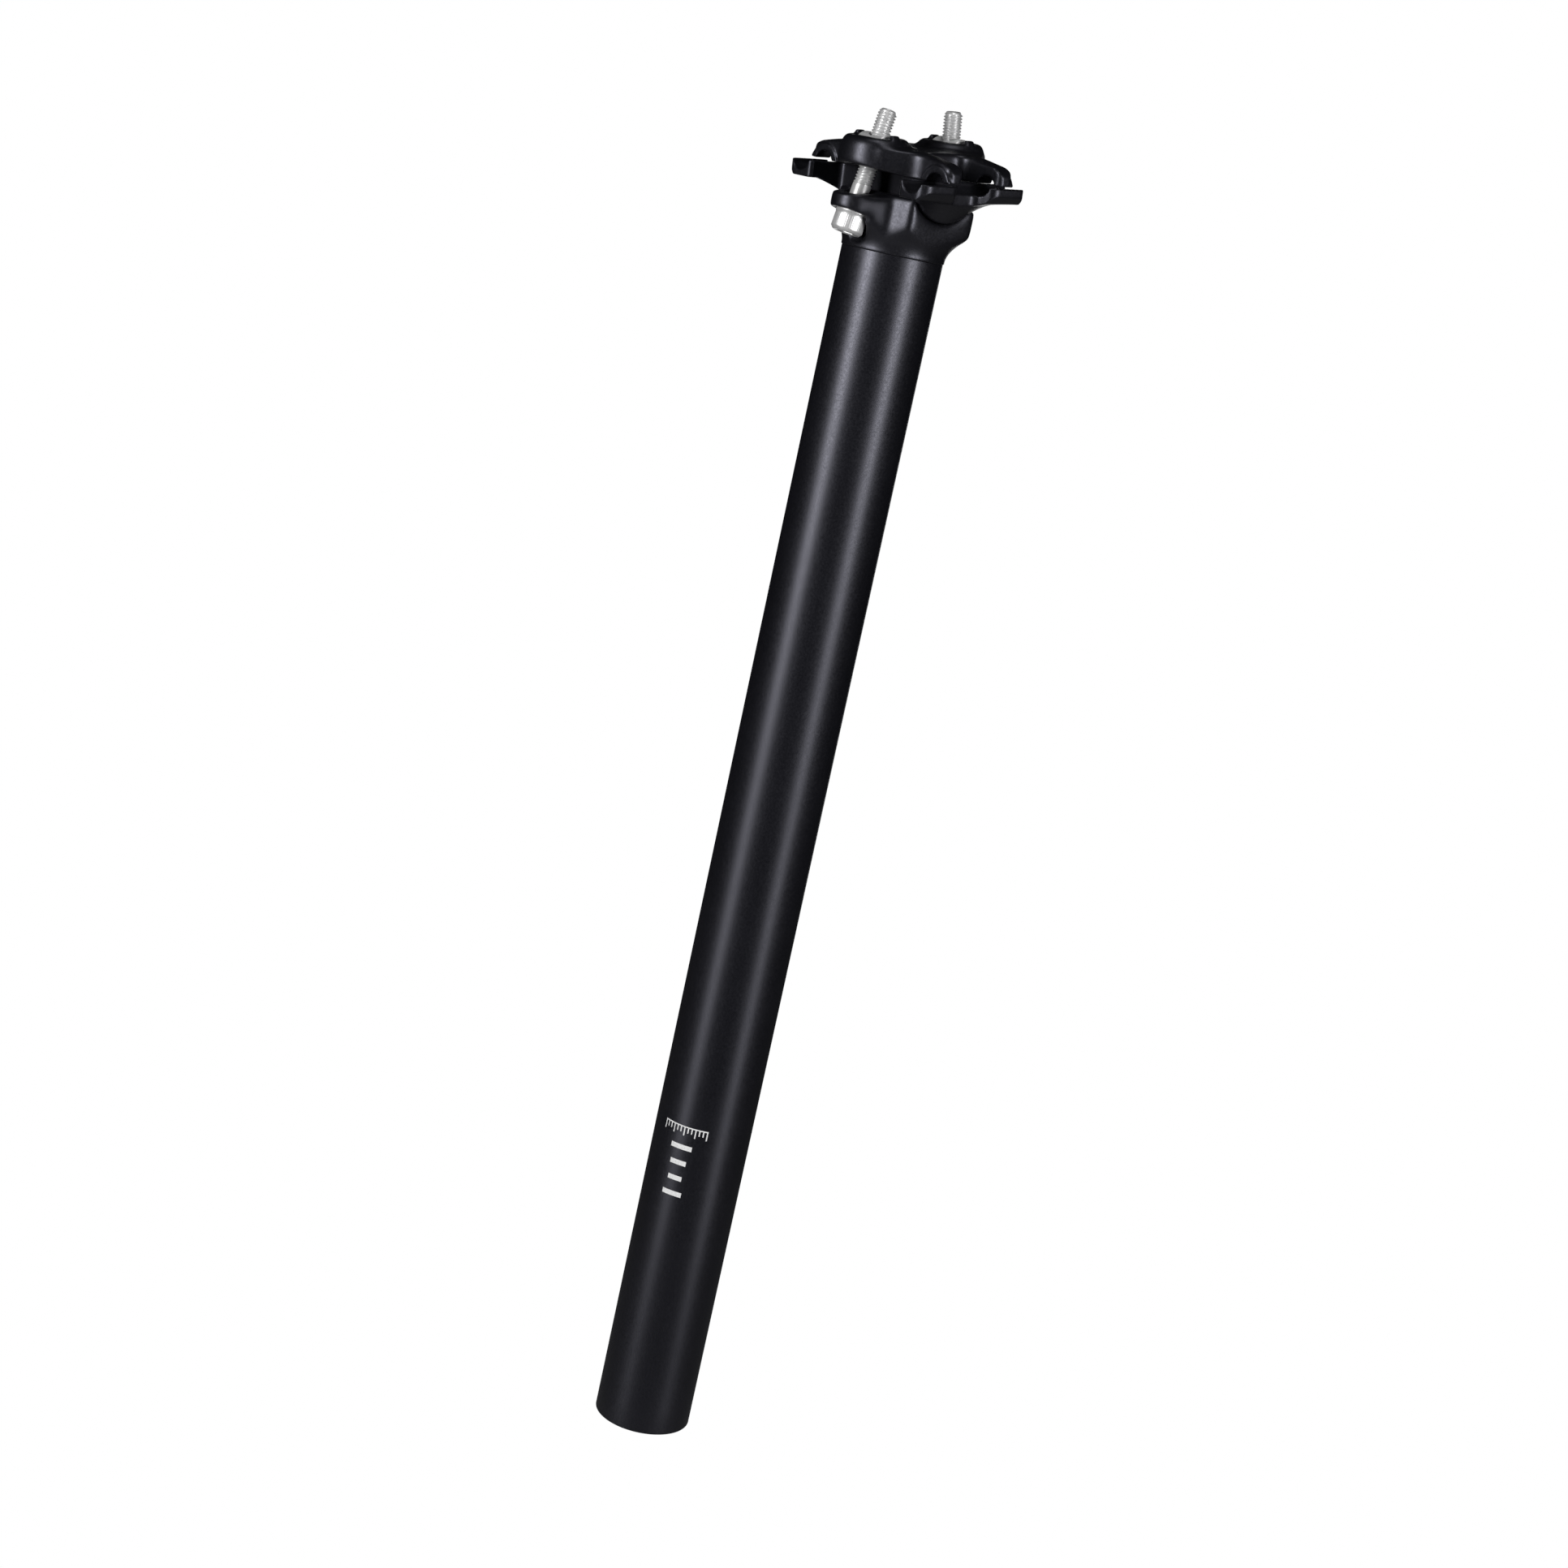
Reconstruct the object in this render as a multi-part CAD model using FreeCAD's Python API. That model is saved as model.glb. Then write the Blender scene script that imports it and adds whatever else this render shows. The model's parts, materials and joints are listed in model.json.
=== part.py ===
import FreeCAD, Part
import math
import os

# A rigid bicycle seatpost with a two-bolt saddle clamp.  Millimetres, degrees.
# +Z runs up the post from the centre of its lower end, +X is forward, +Y is the rider's left.
# The clamp has its own directions: u forwards along the rails, v = Y, w square to the rails.

# Post tube
POST_DIAMETER = 27.2
TUBE_LENGTH = 336.0
TUBE_WALL = 2.2
TUBE_END_CHAMFER = 0.5

# Forged head
COLLAR_RADIUS = 13.85
SPIGOT_LENGTH = 42.0
SPIGOT_WALL = 3.0
BOND_GAP = 0.05
BLOCK_FRONT_X = 12.2
BLOCK_FRONT_CORNER_X = 10.0
BLOCK_REAR_X = -12.7
BLOCK_HALF_Y = 15.3
BLOCK_CORNER = 1.5
BLOCK_TOP_Z = 351.2
SHOULDER_Z = 338.8
COLLAR_TOP_Z = 344.2
COLLAR_TOP_RADIUS = 11.6
LUG_ROOT_HALF_WIDTH = 9.0
LUG_NOSE_RADIUS = 6.2
LUG_HEIGHT = 5.2
LUG_TOP_SLOPE = 10.0
FLARE_REACH = 24.5

# Clamp pivot: the cylindrical seat in the head that the cradle rocks in
PIVOT_Z = 358.2
SEAT_RADIUS = 11.85
REST_TILT = 6.9

# Saddle rails
RAIL_DIAMETER = 7.0
RAIL_HALF_SPACING = 22.0
LOWER_GROOVE_DEPTH = 2.5
UPPER_GROOVE_DEPTH = 2.3

# Lower cradle
CRADLE_RADIUS = 11.8
CRADLE_LIP_W = -1.1
CRADLE_CENTRE_W = -0.8
CRADLE_HALF_U = 8.7
FRONT_WING_END_U = 19.4
FRONT_WING_START_U = 7.8
REAR_WING_END_U = -16.8
REAR_WING_START_U = -5.2
WING_OUTER_V = 27.1
WING_INNER_V = 17.4
WING_FOOT_W = -5.15
WING_EDGE_HEIGHT = 2.0
WAIST_V = 21.5
WAIST_FOOT_W = -6.4
FLANK_GAP = 0.3

# Upper clamp
UPPER_BOTTOM_W = -0.7
UPPER_TOP_W = 7.85
NUT_U = 13.1
NUT_W = 5.1
NOSE_RELIEF = 9.0
BOSS_FOOT_RADIUS = 9.9
BOSS_TOP_RADIUS = 8.8
BOSS_EDGE = 2.0
UPPER_WING_START_U = 6.3
UPPER_WING_END_U = 11.0
UPPER_WING_OUTER_V = 27.3
UPPER_LIP_V = 18.7
UPPER_LIP_RISE = 0.15
BOSS_FLANK_U = 18.8
BOSS_FLANK_V = 8.0
WING_ROOT_V = 14.2
UPPER_WAIST_V = 12.0
RING_RADIUS = 5.4
RING_RISE = 0.5
TAB_INNER_V = 6.2
TAB_FOOT_V = 8.2
TAB_THICKNESS = 0.9
TAB_LENGTH = 2.6
TAB_HEIGHT = 1.0

# Bolts, spherical washers and barrel nuts
FRONT_SWING_X = 17.7
FRONT_SWING_Z = 339.2
REAR_SWING_X = -16.3
REAR_SWING_Z = 342.7
SPHERE_RADIUS = 7.0
SOCKET_CLEARANCE = 0.03
WASHER_FOOT = 4.9
WASHER_RADIUS = 4.4
WASHER_BORE = 2.6
POCKET_RADIUS = 5.0
POCKET_TOP = 5.4
POCKET_FOOT = 0.6
BOLT_HEAD_RADIUS = 4.25
BOLT_HEAD_HEIGHT = 5.0
BOLT_SHANK_RADIUS = 2.5
BOLT_CORE_RADIUS = 2.07
PLAIN_SHANK_END = 12.5
HEX_ACROSS_FLATS = 4.0
HEX_DEPTH = 2.8
BOLT_LENGTH = 28.0
SEAT_GAP = 0.02
NUT_RADIUS = 3.7
NUT_LENGTH = 9.6
NUT_POCKET_RADIUS = 3.74
NUT_POCKET_HALF_V = 5.0
NUT_BORE = 2.82
LEAST_LEAN = 7.2
GREATEST_LEAN = 13.0
MEAN_LEAN = 10.3
SLOT_HALF_WIDTH = 2.9


def vec(x, y, z):
    return FreeCAD.Vector(x, y, z)


def prism(points, extrusion):
    """Solid swept from a closed polygon."""
    wire = Part.makePolygon(points + [points[0]])
    return Part.Face(wire).extrude(extrusion)


def box(low, high):
    size = high - low
    return Part.makeBox(size.x, size.y, size.z, low)


def into_place(shape):
    """Moves a shape drawn in clamp directions to the tilted clamp on the head."""
    placed = shape.copy()
    placed.rotate(vec(0, 0, 0), vec(0, 1, 0), REST_TILT)
    placed.translate(vec(0, 0, PIVOT_Z))
    return placed


def mirrored(shape, normal):
    return shape.mirror(vec(0, 0, 0), normal)


def nut_centre(side):
    """Centre of a barrel nut; side is +1 for the front nut and -1 for the rear one."""
    tilt = math.radians(REST_TILT)
    u = side * NUT_U
    x = u * math.cos(tilt) + NUT_W * math.sin(tilt)
    z = PIVOT_Z - u * math.sin(tilt) + NUT_W * math.cos(tilt)
    return vec(x, 0, z)


def swing_centre(side):
    """Centre of the spherical washer seat, on the bolt's axis."""
    if side > 0:
        return vec(FRONT_SWING_X, 0, FRONT_SWING_Z)
    return vec(REAR_SWING_X, 0, REAR_SWING_Z)


def bolt_direction(side):
    """Unit vector up the bolt, from its washer seat to its nut."""
    direction = nut_centre(side) - swing_centre(side)
    return direction.normalize()


def leaning(side, lean):
    """Unit vector up a bolt that leans inwards by lean degrees."""
    angle = math.radians(lean)
    return vec(-side * math.sin(angle), 0, math.cos(angle))


def post_tube():
    outer_radius = POST_DIAMETER / 2
    inner_radius = outer_radius - TUBE_WALL
    profile = [
        vec(inner_radius, 0, 0),
        vec(outer_radius - TUBE_END_CHAMFER, 0, 0),
        vec(outer_radius, 0, TUBE_END_CHAMFER),
        vec(outer_radius, 0, TUBE_LENGTH),
        vec(inner_radius, 0, TUBE_LENGTH),
    ]
    wire = Part.makePolygon(profile + [profile[0]])
    return Part.Face(wire).revolve(vec(0, 0, 0), vec(0, 0, 1), 360)


def flare():
    """Round trumpet that grows out of the collar: it bounds the underside of the block and lugs."""
    z = TUBE_LENGTH
    curve_points = [
        vec(COLLAR_RADIUS, 0, z + 1.0),
        vec(COLLAR_RADIUS + 0.35, 0, z + 2.6),
        vec(COLLAR_RADIUS + 1.95, 0, z + 4.9),
        vec(COLLAR_RADIUS + 4.55, 0, z + 7.1),
        vec(COLLAR_RADIUS + 7.3, 0, z + 8.1),
        vec(FLARE_REACH, 0, z + 8.6),
    ]
    curve = Part.BSplineCurve()
    curve.interpolate(curve_points)
    outline = [
        vec(FLARE_REACH, 0, z + 8.6),
        vec(FLARE_REACH, 0, BLOCK_TOP_Z + 1),
        vec(0, 0, BLOCK_TOP_Z + 1),
        vec(0, 0, z),
        vec(COLLAR_RADIUS, 0, z),
        vec(COLLAR_RADIUS, 0, z + 1.0),
    ]
    edges = [curve.toShape()]
    for start, end in zip(outline, outline[1:]):
        edges.append(Part.makeLine(start, end))
    wire = Part.Wire(Part.__sortEdges__(edges))
    return Part.Face(wire).revolve(vec(0, 0, 0), vec(0, 0, 1), 360)


def lug(side):
    """One lug: straight tapering flanks, a round nose, and a top that falls away outwards."""
    centre = swing_centre(side) + leaning(side, MEAN_LEAN) * POCKET_TOP
    root_x = BLOCK_FRONT_X if side > 0 else BLOCK_REAR_X
    offset = vec(abs(root_x) - abs(centre.x), LUG_ROOT_HALF_WIDTH, 0)
    towards_root = math.atan2(offset.y, offset.x)
    angle = towards_root - math.acos(LUG_NOSE_RADIUS / offset.Length)
    touch_x = centre.x + side * LUG_NOSE_RADIUS * math.cos(angle)
    touch_y = LUG_NOSE_RADIUS * math.sin(angle)
    z = TUBE_LENGTH
    tip = vec(centre.x + side * LUG_NOSE_RADIUS, 0, z)
    near = vec(touch_x, touch_y, z)
    far = vec(touch_x, -touch_y, z)
    corner = vec(root_x, LUG_ROOT_HALF_WIDTH, z)
    far_corner = vec(root_x, -LUG_ROOT_HALF_WIDTH, z)
    middle = vec(0, LUG_ROOT_HALF_WIDTH, z)
    far_middle = vec(0, -LUG_ROOT_HALF_WIDTH, z)
    edges = [
        Part.makeLine(middle, corner),
        Part.makeLine(corner, near),
        Part.Arc(near, tip, far).toShape(),
        Part.makeLine(far, far_corner),
        Part.makeLine(far_corner, far_middle),
        Part.makeLine(far_middle, middle),
    ]
    body = Part.Face(Part.Wire(edges)).extrude(vec(0, 0, 30))
    slope = math.radians(LUG_TOP_SLOPE)
    top = centre + vec(0, 0, LUG_HEIGHT)
    above = Part.makeCylinder(40, 40, top, vec(side * math.sin(slope), 0, math.cos(slope)))
    return body.cut(above)


def bolt_slot(side):
    """Opening that lets one bolt swing between its least and greatest lean."""
    centre = swing_centre(side)
    length = 16.0
    steep = leaning(side, LEAST_LEAN)
    shallow = leaning(side, GREATEST_LEAN)
    slot = Part.makeCylinder(SLOT_HALF_WIDTH, length, centre, steep)
    slot = slot.fuse(Part.makeCylinder(SLOT_HALF_WIDTH, length, centre, shallow))
    wedge = prism(
        [centre, centre + steep * length, centre + shallow * length],
        vec(0, 2 * SLOT_HALF_WIDTH, 0),
    )
    wedge.translate(vec(0, -SLOT_HALF_WIDTH, 0))
    return slot.fuse(wedge)


def head_pocket(side):
    """Round pocket under a lug for the bolt's head, with a spherical seat for its washer."""
    centre = swing_centre(side)
    axis = leaning(side, MEAN_LEAN)
    start = centre - axis * POCKET_FOOT
    pocket = Part.makeCylinder(POCKET_RADIUS, POCKET_TOP + POCKET_FOOT, start, axis)
    run_out = Part.makeCone(POCKET_RADIUS - 1.2, POCKET_RADIUS, 1.6, start - axis * 1.6, axis)
    pocket = pocket.fuse(run_out)
    ball = Part.makeSphere(SPHERE_RADIUS + SOCKET_CLEARANCE, centre)
    column = Part.makeCylinder(POCKET_RADIUS, 4.0, centre + axis * (POCKET_TOP - 0.5), axis)
    return pocket.fuse(ball.common(column))


def nose_ledge(side):
    """Space under the tip of a lug, outside the pocket's open mouth."""
    centre = swing_centre(side)
    start = centre.x - side * 1.0
    end = start + side * 14.0
    low = vec(min(start, end), -10, TUBE_LENGTH)
    high = vec(max(start, end), 10, BLOCK_TOP_Z)
    return lug_ledge(side).common(box(low, high))


def lug_ledge(side):
    """Space under a lug, down from its washer seat."""
    centre = swing_centre(side)
    axis = leaning(side, MEAN_LEAN)
    reach = POCKET_RADIUS + 4.0
    space = Part.makeCylinder(reach, 20, centre + axis * (POCKET_TOP - 0.3), axis * -1)
    keep = Part.makeCylinder(COLLAR_RADIUS, 40, vec(0, 0, TUBE_LENGTH - 1))
    return space.cut(keep)


def forged_head():
    right = [
        (BLOCK_FRONT_X, LUG_ROOT_HALF_WIDTH, 0),
        (BLOCK_FRONT_CORNER_X, BLOCK_HALF_Y, BLOCK_CORNER),
        (BLOCK_REAR_X, BLOCK_HALF_Y, BLOCK_CORNER),
    ]
    block = rounded_plan(both_sides(right), TUBE_LENGTH, BLOCK_TOP_Z - TUBE_LENGTH)
    collar = Part.makeCylinder(COLLAR_RADIUS, SHOULDER_Z - TUBE_LENGTH, vec(0, 0, TUBE_LENGTH))
    shoulder_height = COLLAR_TOP_Z - SHOULDER_Z
    shoulder = Part.makeCone(
        COLLAR_RADIUS, COLLAR_TOP_RADIUS, shoulder_height, vec(0, 0, SHOULDER_Z)
    )
    trumpet = flare()
    body = block.fuse([lug(1), collar, shoulder]).common(trumpet)
    body = body.fuse(lug(-1).common(trumpet).cut(lug_ledge(-1)))
    seat_axis_start = vec(0, -BLOCK_HALF_Y - 1, PIVOT_Z)
    seat = Part.makeCylinder(SEAT_RADIUS, 2 * BLOCK_HALF_Y + 2, seat_axis_start, vec(0, 1, 0))
    body = body.cut(seat)
    for side in (1, -1):
        body = body.cut(bolt_slot(side))
        body = body.cut(head_pocket(side))
        body = body.cut(nose_ledge(side))
    spigot_radius = POST_DIAMETER / 2 - TUBE_WALL - BOND_GAP
    low = TUBE_LENGTH - SPIGOT_LENGTH
    spigot = Part.makeCylinder(spigot_radius, SPIGOT_LENGTH + 1, vec(0, 0, low))
    rim = [e for e in spigot.Edges if abs(e.BoundBox.ZMax - low) < 0.01]
    spigot = spigot.makeChamfer(0.8, rim)
    bore = Part.makeCylinder(spigot_radius - SPIGOT_WALL, SPIGOT_LENGTH - 6, vec(0, 0, low))
    return body.fuse(spigot).cut(bore).removeSplitter()


def rail_groove(v, axis_w):
    """Round groove for one saddle rail, along the whole clamp."""
    return Part.makeCylinder(RAIL_DIAMETER / 2, 60, vec(-30, v, axis_w), vec(1, 0, 0))


def rounded_plan(corners, level, height):
    """Prism over a polygon whose corners each have their own rounding radius."""
    count = len(corners)
    points = [vec(c[0], c[1], level) for c in corners]
    edges = []
    previous_end = None
    first_start = None
    for i in range(count):
        corner = points[i]
        radius = corners[i][2]
        back = points[i - 1] - corner
        ahead = points[(i + 1) % count] - corner
        half = back.getAngle(ahead) / 2
        if radius > 0:
            reach = radius / math.tan(half)
            start = corner + back.normalize() * reach
            end = corner + ahead.normalize() * reach
            bisector = (back + ahead).normalize()
            middle = corner + bisector * (radius / math.sin(half) - radius)
            arc = Part.Arc(start, middle, end).toShape()
        else:
            start = corner
            end = corner
            arc = None
        if previous_end is not None:
            edges.append(Part.makeLine(previous_end, start))
        else:
            first_start = start
        if arc is not None:
            edges.append(arc)
        previous_end = end
    edges.append(Part.makeLine(previous_end, first_start))
    return Part.Face(Part.Wire(edges)).extrude(vec(0, 0, height))


def both_sides(right):
    """Closes an outline of (u, v, radius) corners, given for v > 0, by mirroring it across v = 0."""
    left = [(u, -v, r) for u, v, r in reversed(right)]
    return right + left


def cradle_section(v, turn_w, low_w, end_w):
    """Closed outline of the cradle's flank at one v: a round belly between rising straight ends."""
    top = CRADLE_CENTRE_W
    turn_u = CRADLE_RADIUS / 2
    belly_front = 16.2
    belly_rear = -14.2
    points = [
        vec(REAR_WING_END_U, v, top),
        vec(REAR_WING_END_U, v, end_w),
        vec(belly_rear, v, end_w - 0.01),
        vec(-turn_u, v, turn_w),
        vec(turn_u, v, turn_w),
        vec(belly_front, v, end_w - 0.01),
        vec(FRONT_WING_END_U, v, end_w),
        vec(FRONT_WING_END_U, v, top),
    ]
    edges = [
        Part.makeLine(points[0], points[1]),
        Part.makeLine(points[1], points[2]),
        Part.makeLine(points[2], points[3]),
        Part.Arc(points[3], vec(0, v, low_w), points[4]).toShape(),
        Part.makeLine(points[4], points[5]),
        Part.makeLine(points[5], points[6]),
        Part.makeLine(points[6], points[7]),
        Part.makeLine(points[7], points[0]),
    ]
    return Part.Wire(edges)


def cradle_flank():
    """Flank outside the head: it slopes from the round seat out to the edge of the rail wings."""
    turn_w = -math.sqrt(CRADLE_RADIUS**2 - (CRADLE_RADIUS / 2) ** 2)
    inner = cradle_section(BLOCK_HALF_Y + FLANK_GAP, turn_w, -CRADLE_RADIUS, WING_FOOT_W)
    middle = cradle_section(WAIST_V, WAIST_FOOT_W + 0.2, WAIST_FOOT_W, WING_FOOT_W)
    near_edge = cradle_section(WING_OUTER_V - 2.4, WING_FOOT_W - 0.15, WING_FOOT_W - 0.2, WING_FOOT_W)
    edge_w = CRADLE_LIP_W - WING_EDGE_HEIGHT
    outer = cradle_section(WING_OUTER_V, edge_w - 0.02, edge_w - 0.05, edge_w)
    first = Part.makeLoft([inner, middle], True, True)
    second = Part.makeLoft([middle, near_edge], True, True)
    third = Part.makeLoft([near_edge, outer], True, True)
    return first.fuse([second, third])


def lower_cradle():
    right = [
        (CRADLE_HALF_U, WING_INNER_V, 1.5),
        (FRONT_WING_END_U, WING_INNER_V, 1.2),
        (FRONT_WING_END_U, WING_OUTER_V, 3.2),
        (FRONT_WING_START_U, WING_OUTER_V, 2.6),
        (FRONT_WING_START_U - 3.0, WAIST_V, 2.6),
        (REAR_WING_START_U + 1.6, WAIST_V, 2.6),
        (REAR_WING_START_U, WING_OUTER_V, 2.6),
        (REAR_WING_END_U, WING_OUTER_V, 2.7),
        (REAR_WING_END_U, WING_INNER_V, 1.2),
        (-CRADLE_HALF_U, WING_INNER_V, 1.5),
    ]
    outline = rounded_plan(both_sides(right), -CRADLE_RADIUS - 1, CRADLE_RADIUS + 1 + CRADLE_CENTRE_W)
    flank = cradle_flank()
    wings = flank.fuse(mirrored(flank, vec(0, 1, 0))).common(outline)
    seat_half = BLOCK_HALF_Y + FLANK_GAP
    barrel = Part.makeCylinder(CRADLE_RADIUS, 2 * seat_half, vec(0, -seat_half, 0), vec(0, 1, 0))
    body = barrel.common(
        box(
            vec(-CRADLE_HALF_U, -seat_half, -CRADLE_RADIUS - 1),
            vec(CRADLE_HALF_U, seat_half, CRADLE_CENTRE_W),
        )
    )
    cradle = wings.fuse(body)
    groove_w = CRADLE_LIP_W - LOWER_GROOVE_DEPTH + RAIL_DIAMETER / 2
    for v in (RAIL_HALF_SPACING, -RAIL_HALF_SPACING):
        cradle = cradle.cut(rail_groove(v, groove_w))
    for side in (1, -1):
        low_v = side * (RAIL_HALF_SPACING + 1.5)
        high_v = side * (WING_OUTER_V + 1)
        outer_v = side * RAIL_HALF_SPACING
        above_lip = box(
            vec(REAR_WING_END_U - 1, min(outer_v, high_v), CRADLE_LIP_W),
            vec(FRONT_WING_END_U + 1, max(outer_v, high_v), 0),
        )
        gap = box(
            vec(REAR_WING_START_U + 1.2, min(low_v, high_v), CRADLE_LIP_W - LOWER_GROOVE_DEPTH),
            vec(FRONT_WING_START_U - 1.2, max(low_v, high_v), 0),
        )
        cradle = cradle.cut([gap, above_lip])
    return into_place(cradle.removeSplitter())


def upper_wing_profile():
    """Solid under the top line of the upper clamp seen from the front."""
    top_points = [
        vec(0, 0, 5.8),
        vec(0, 8.0, 5.9),
        vec(0, 12.0, 5.8),
        vec(0, 17.0, 5.45),
        vec(0, 20.4, 4.95),
        vec(0, 23.7, 4.2),
        vec(0, 26.0, 3.2),
        vec(0, UPPER_WING_OUTER_V - 0.1, 1.7),
    ]
    curve = Part.BSplineCurve()
    curve.interpolate(top_points)
    end = vec(0, UPPER_WING_OUTER_V, UPPER_BOTTOM_W)
    centre = vec(0, 0, UPPER_BOTTOM_W)
    edges = [
        curve.toShape(),
        Part.makeLine(top_points[-1], end),
        Part.makeLine(end, centre),
        Part.makeLine(centre, top_points[0]),
    ]
    half = Part.Face(Part.Wire(edges)).extrude(vec(40, 0, 0))
    half.translate(vec(-20, 0, 0))
    return half.fuse(mirrored(half, vec(0, 1, 0)))


def upper_bolt_slot():
    """Fan-shaped opening below the front nut, wide enough for the bolt at every clamp tilt."""
    drop = NUT_W - UPPER_BOTTOM_W + 1
    outward = drop * math.tan(math.radians(30.9)) + 0.5
    inward = drop * math.tan(math.radians(7.6)) + 0.3
    half = SLOT_HALF_WIDTH
    low = NUT_W - drop
    fan = prism(
        [
            vec(NUT_U - half, -half, NUT_W),
            vec(NUT_U + half, -half, NUT_W),
            vec(NUT_U + half + outward, -half, low),
            vec(NUT_U - half - inward, -half, low),
        ],
        vec(0, 2 * half, 0),
    )
    above = box(vec(NUT_U - half - 1.7, -half, NUT_W), vec(NUT_U + half, half, NUT_W + 8))
    return fan.fuse(above)


def nut_pocket():
    """Half-round trough, open at the top, that the front barrel nut lies in."""
    half = NUT_POCKET_HALF_V
    trough = Part.makeCylinder(NUT_POCKET_RADIUS, 2 * half, vec(NUT_U, -half, NUT_W), vec(0, 1, 0))
    above = box(
        vec(NUT_U - NUT_POCKET_RADIUS, -half, NUT_W),
        vec(NUT_U + NUT_POCKET_RADIUS, half, NUT_W + 8),
    )
    return trough.fuse(above)


def nose_relief():
    """Space under the front nose, whose underside rises forwards to clear the head's lug."""
    slope = math.tan(math.radians(NOSE_RELIEF))
    start = UPPER_WING_END_U + 0.8
    end = 26.0
    low = UPPER_BOTTOM_W - 1
    wedge = prism(
        [
            vec(start, -14, low),
            vec(end, -14, low),
            vec(end, -14, UPPER_BOTTOM_W + (end - start) * slope),
            vec(start, -14, UPPER_BOTTOM_W),
        ],
        vec(0, 28, 0),
    )
    return wedge


def keeper_tab():
    """Small tab beside the end of a nut: upright inside, sloping outside."""
    start = NUT_U - TAB_LENGTH / 2
    top = UPPER_TOP_W + TAB_HEIGHT
    outline = [
        vec(start, TAB_INNER_V, UPPER_TOP_W - 3),
        vec(start, TAB_INNER_V, top),
        vec(start, TAB_INNER_V + TAB_THICKNESS, top),
        vec(start, TAB_FOOT_V, UPPER_TOP_W),
        vec(start, TAB_FOOT_V, UPPER_TOP_W - 3),
    ]
    return prism(outline, vec(TAB_LENGTH, 0, 0))


def upper_clamp():
    height = UPPER_TOP_W - UPPER_BOTTOM_W
    front_right = [
        (BOSS_FLANK_U, BOSS_FLANK_V, 0),
        (UPPER_WING_END_U, WING_ROOT_V, 6.0),
        (UPPER_WING_END_U, UPPER_WING_OUTER_V, 1.8),
        (UPPER_WING_START_U, UPPER_WING_OUTER_V, 1.8),
        (UPPER_WING_START_U, UPPER_WAIST_V, 3.0),
    ]
    rear_right = [(-u, v, r) for u, v, r in reversed(front_right)]
    outline = both_sides(front_right + rear_right)
    plate = rounded_plan(outline, UPPER_BOTTOM_W, height).common(upper_wing_profile())
    boss = Part.makeCone(BOSS_FOOT_RADIUS, BOSS_TOP_RADIUS, height, vec(NUT_U, 0, UPPER_BOTTOM_W))
    rim = [e for e in boss.Edges if e.BoundBox.ZMin > UPPER_TOP_W - 0.01]
    boss = boss.makeFillet(BOSS_EDGE, rim)
    clamp = plate.fuse([boss, mirrored(boss, vec(1, 0, 0))])
    clamp = clamp.cut([nose_relief(), mirrored(nose_relief(), vec(1, 0, 0))])
    groove_w = UPPER_BOTTOM_W + UPPER_GROOVE_DEPTH - RAIL_DIAMETER / 2
    for side in (1, -1):
        v = side * RAIL_HALF_SPACING
        start = vec(-UPPER_WING_END_U - RING_RISE, v, groove_w)
        length = 2 * (UPPER_WING_END_U + RING_RISE)
        outside = Part.makeCylinder(RING_RADIUS, length, start, vec(1, 0, 0))
        for low_u, high_u in (
            (UPPER_WING_END_U - 1.0, UPPER_WING_END_U + RING_RISE),
            (-UPPER_WING_END_U - RING_RISE, -UPPER_WING_END_U + 1.0),
        ):
            span = box(vec(low_u, v - 6, UPPER_BOTTOM_W), vec(high_u, v + 6, UPPER_TOP_W))
            clamp = clamp.fuse(outside.common(span))
    for v in (RAIL_HALF_SPACING, -RAIL_HALF_SPACING):
        clamp = clamp.cut(rail_groove(v, groove_w))
        low_v = min(v, v * UPPER_LIP_V / RAIL_HALF_SPACING, v * 2)
        high_v = max(v, v * UPPER_LIP_V / RAIL_HALF_SPACING, v * 2)
        low = vec(-UPPER_WING_END_U - 2, low_v, UPPER_BOTTOM_W - 1)
        high = vec(UPPER_WING_END_U + 2, high_v, UPPER_BOTTOM_W + UPPER_LIP_RISE)
        clamp = clamp.cut(box(low, high))
    tab = keeper_tab()
    far_tab = mirrored(tab, vec(0, 1, 0))
    for shape in (tab, far_tab):
        clamp = clamp.fuse([shape, mirrored(shape, vec(1, 0, 0))])
    opening = nut_pocket().fuse(upper_bolt_slot())
    clamp = clamp.cut(opening).cut(mirrored(opening, vec(1, 0, 0)))
    return into_place(clamp.removeSplitter())


def swivel_washer(side):
    """Washer with a flat foot for the bolt's head and a spherical crown."""
    profile_base = vec(0, 0, 0)
    ball = Part.makeSphere(SPHERE_RADIUS, profile_base)
    disc = Part.makeCylinder(WASHER_RADIUS, 3.0, vec(0, 0, WASHER_FOOT))
    bore = Part.makeCylinder(WASHER_BORE, 6.0, vec(0, 0, WASHER_FOOT - 1))
    return along_bolt(ball.common(disc).cut(bore), side)


def along_bolt(shape, side):
    """Moves a shape drawn round +Z onto one bolt's axis."""
    placed = shape.copy()
    direction = bolt_direction(side)
    angle = math.degrees(math.atan2(direction.x, direction.z))
    placed.rotate(vec(0, 0, 0), vec(0, 1, 0), angle)
    placed.translate(swing_centre(side))
    return placed


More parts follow.
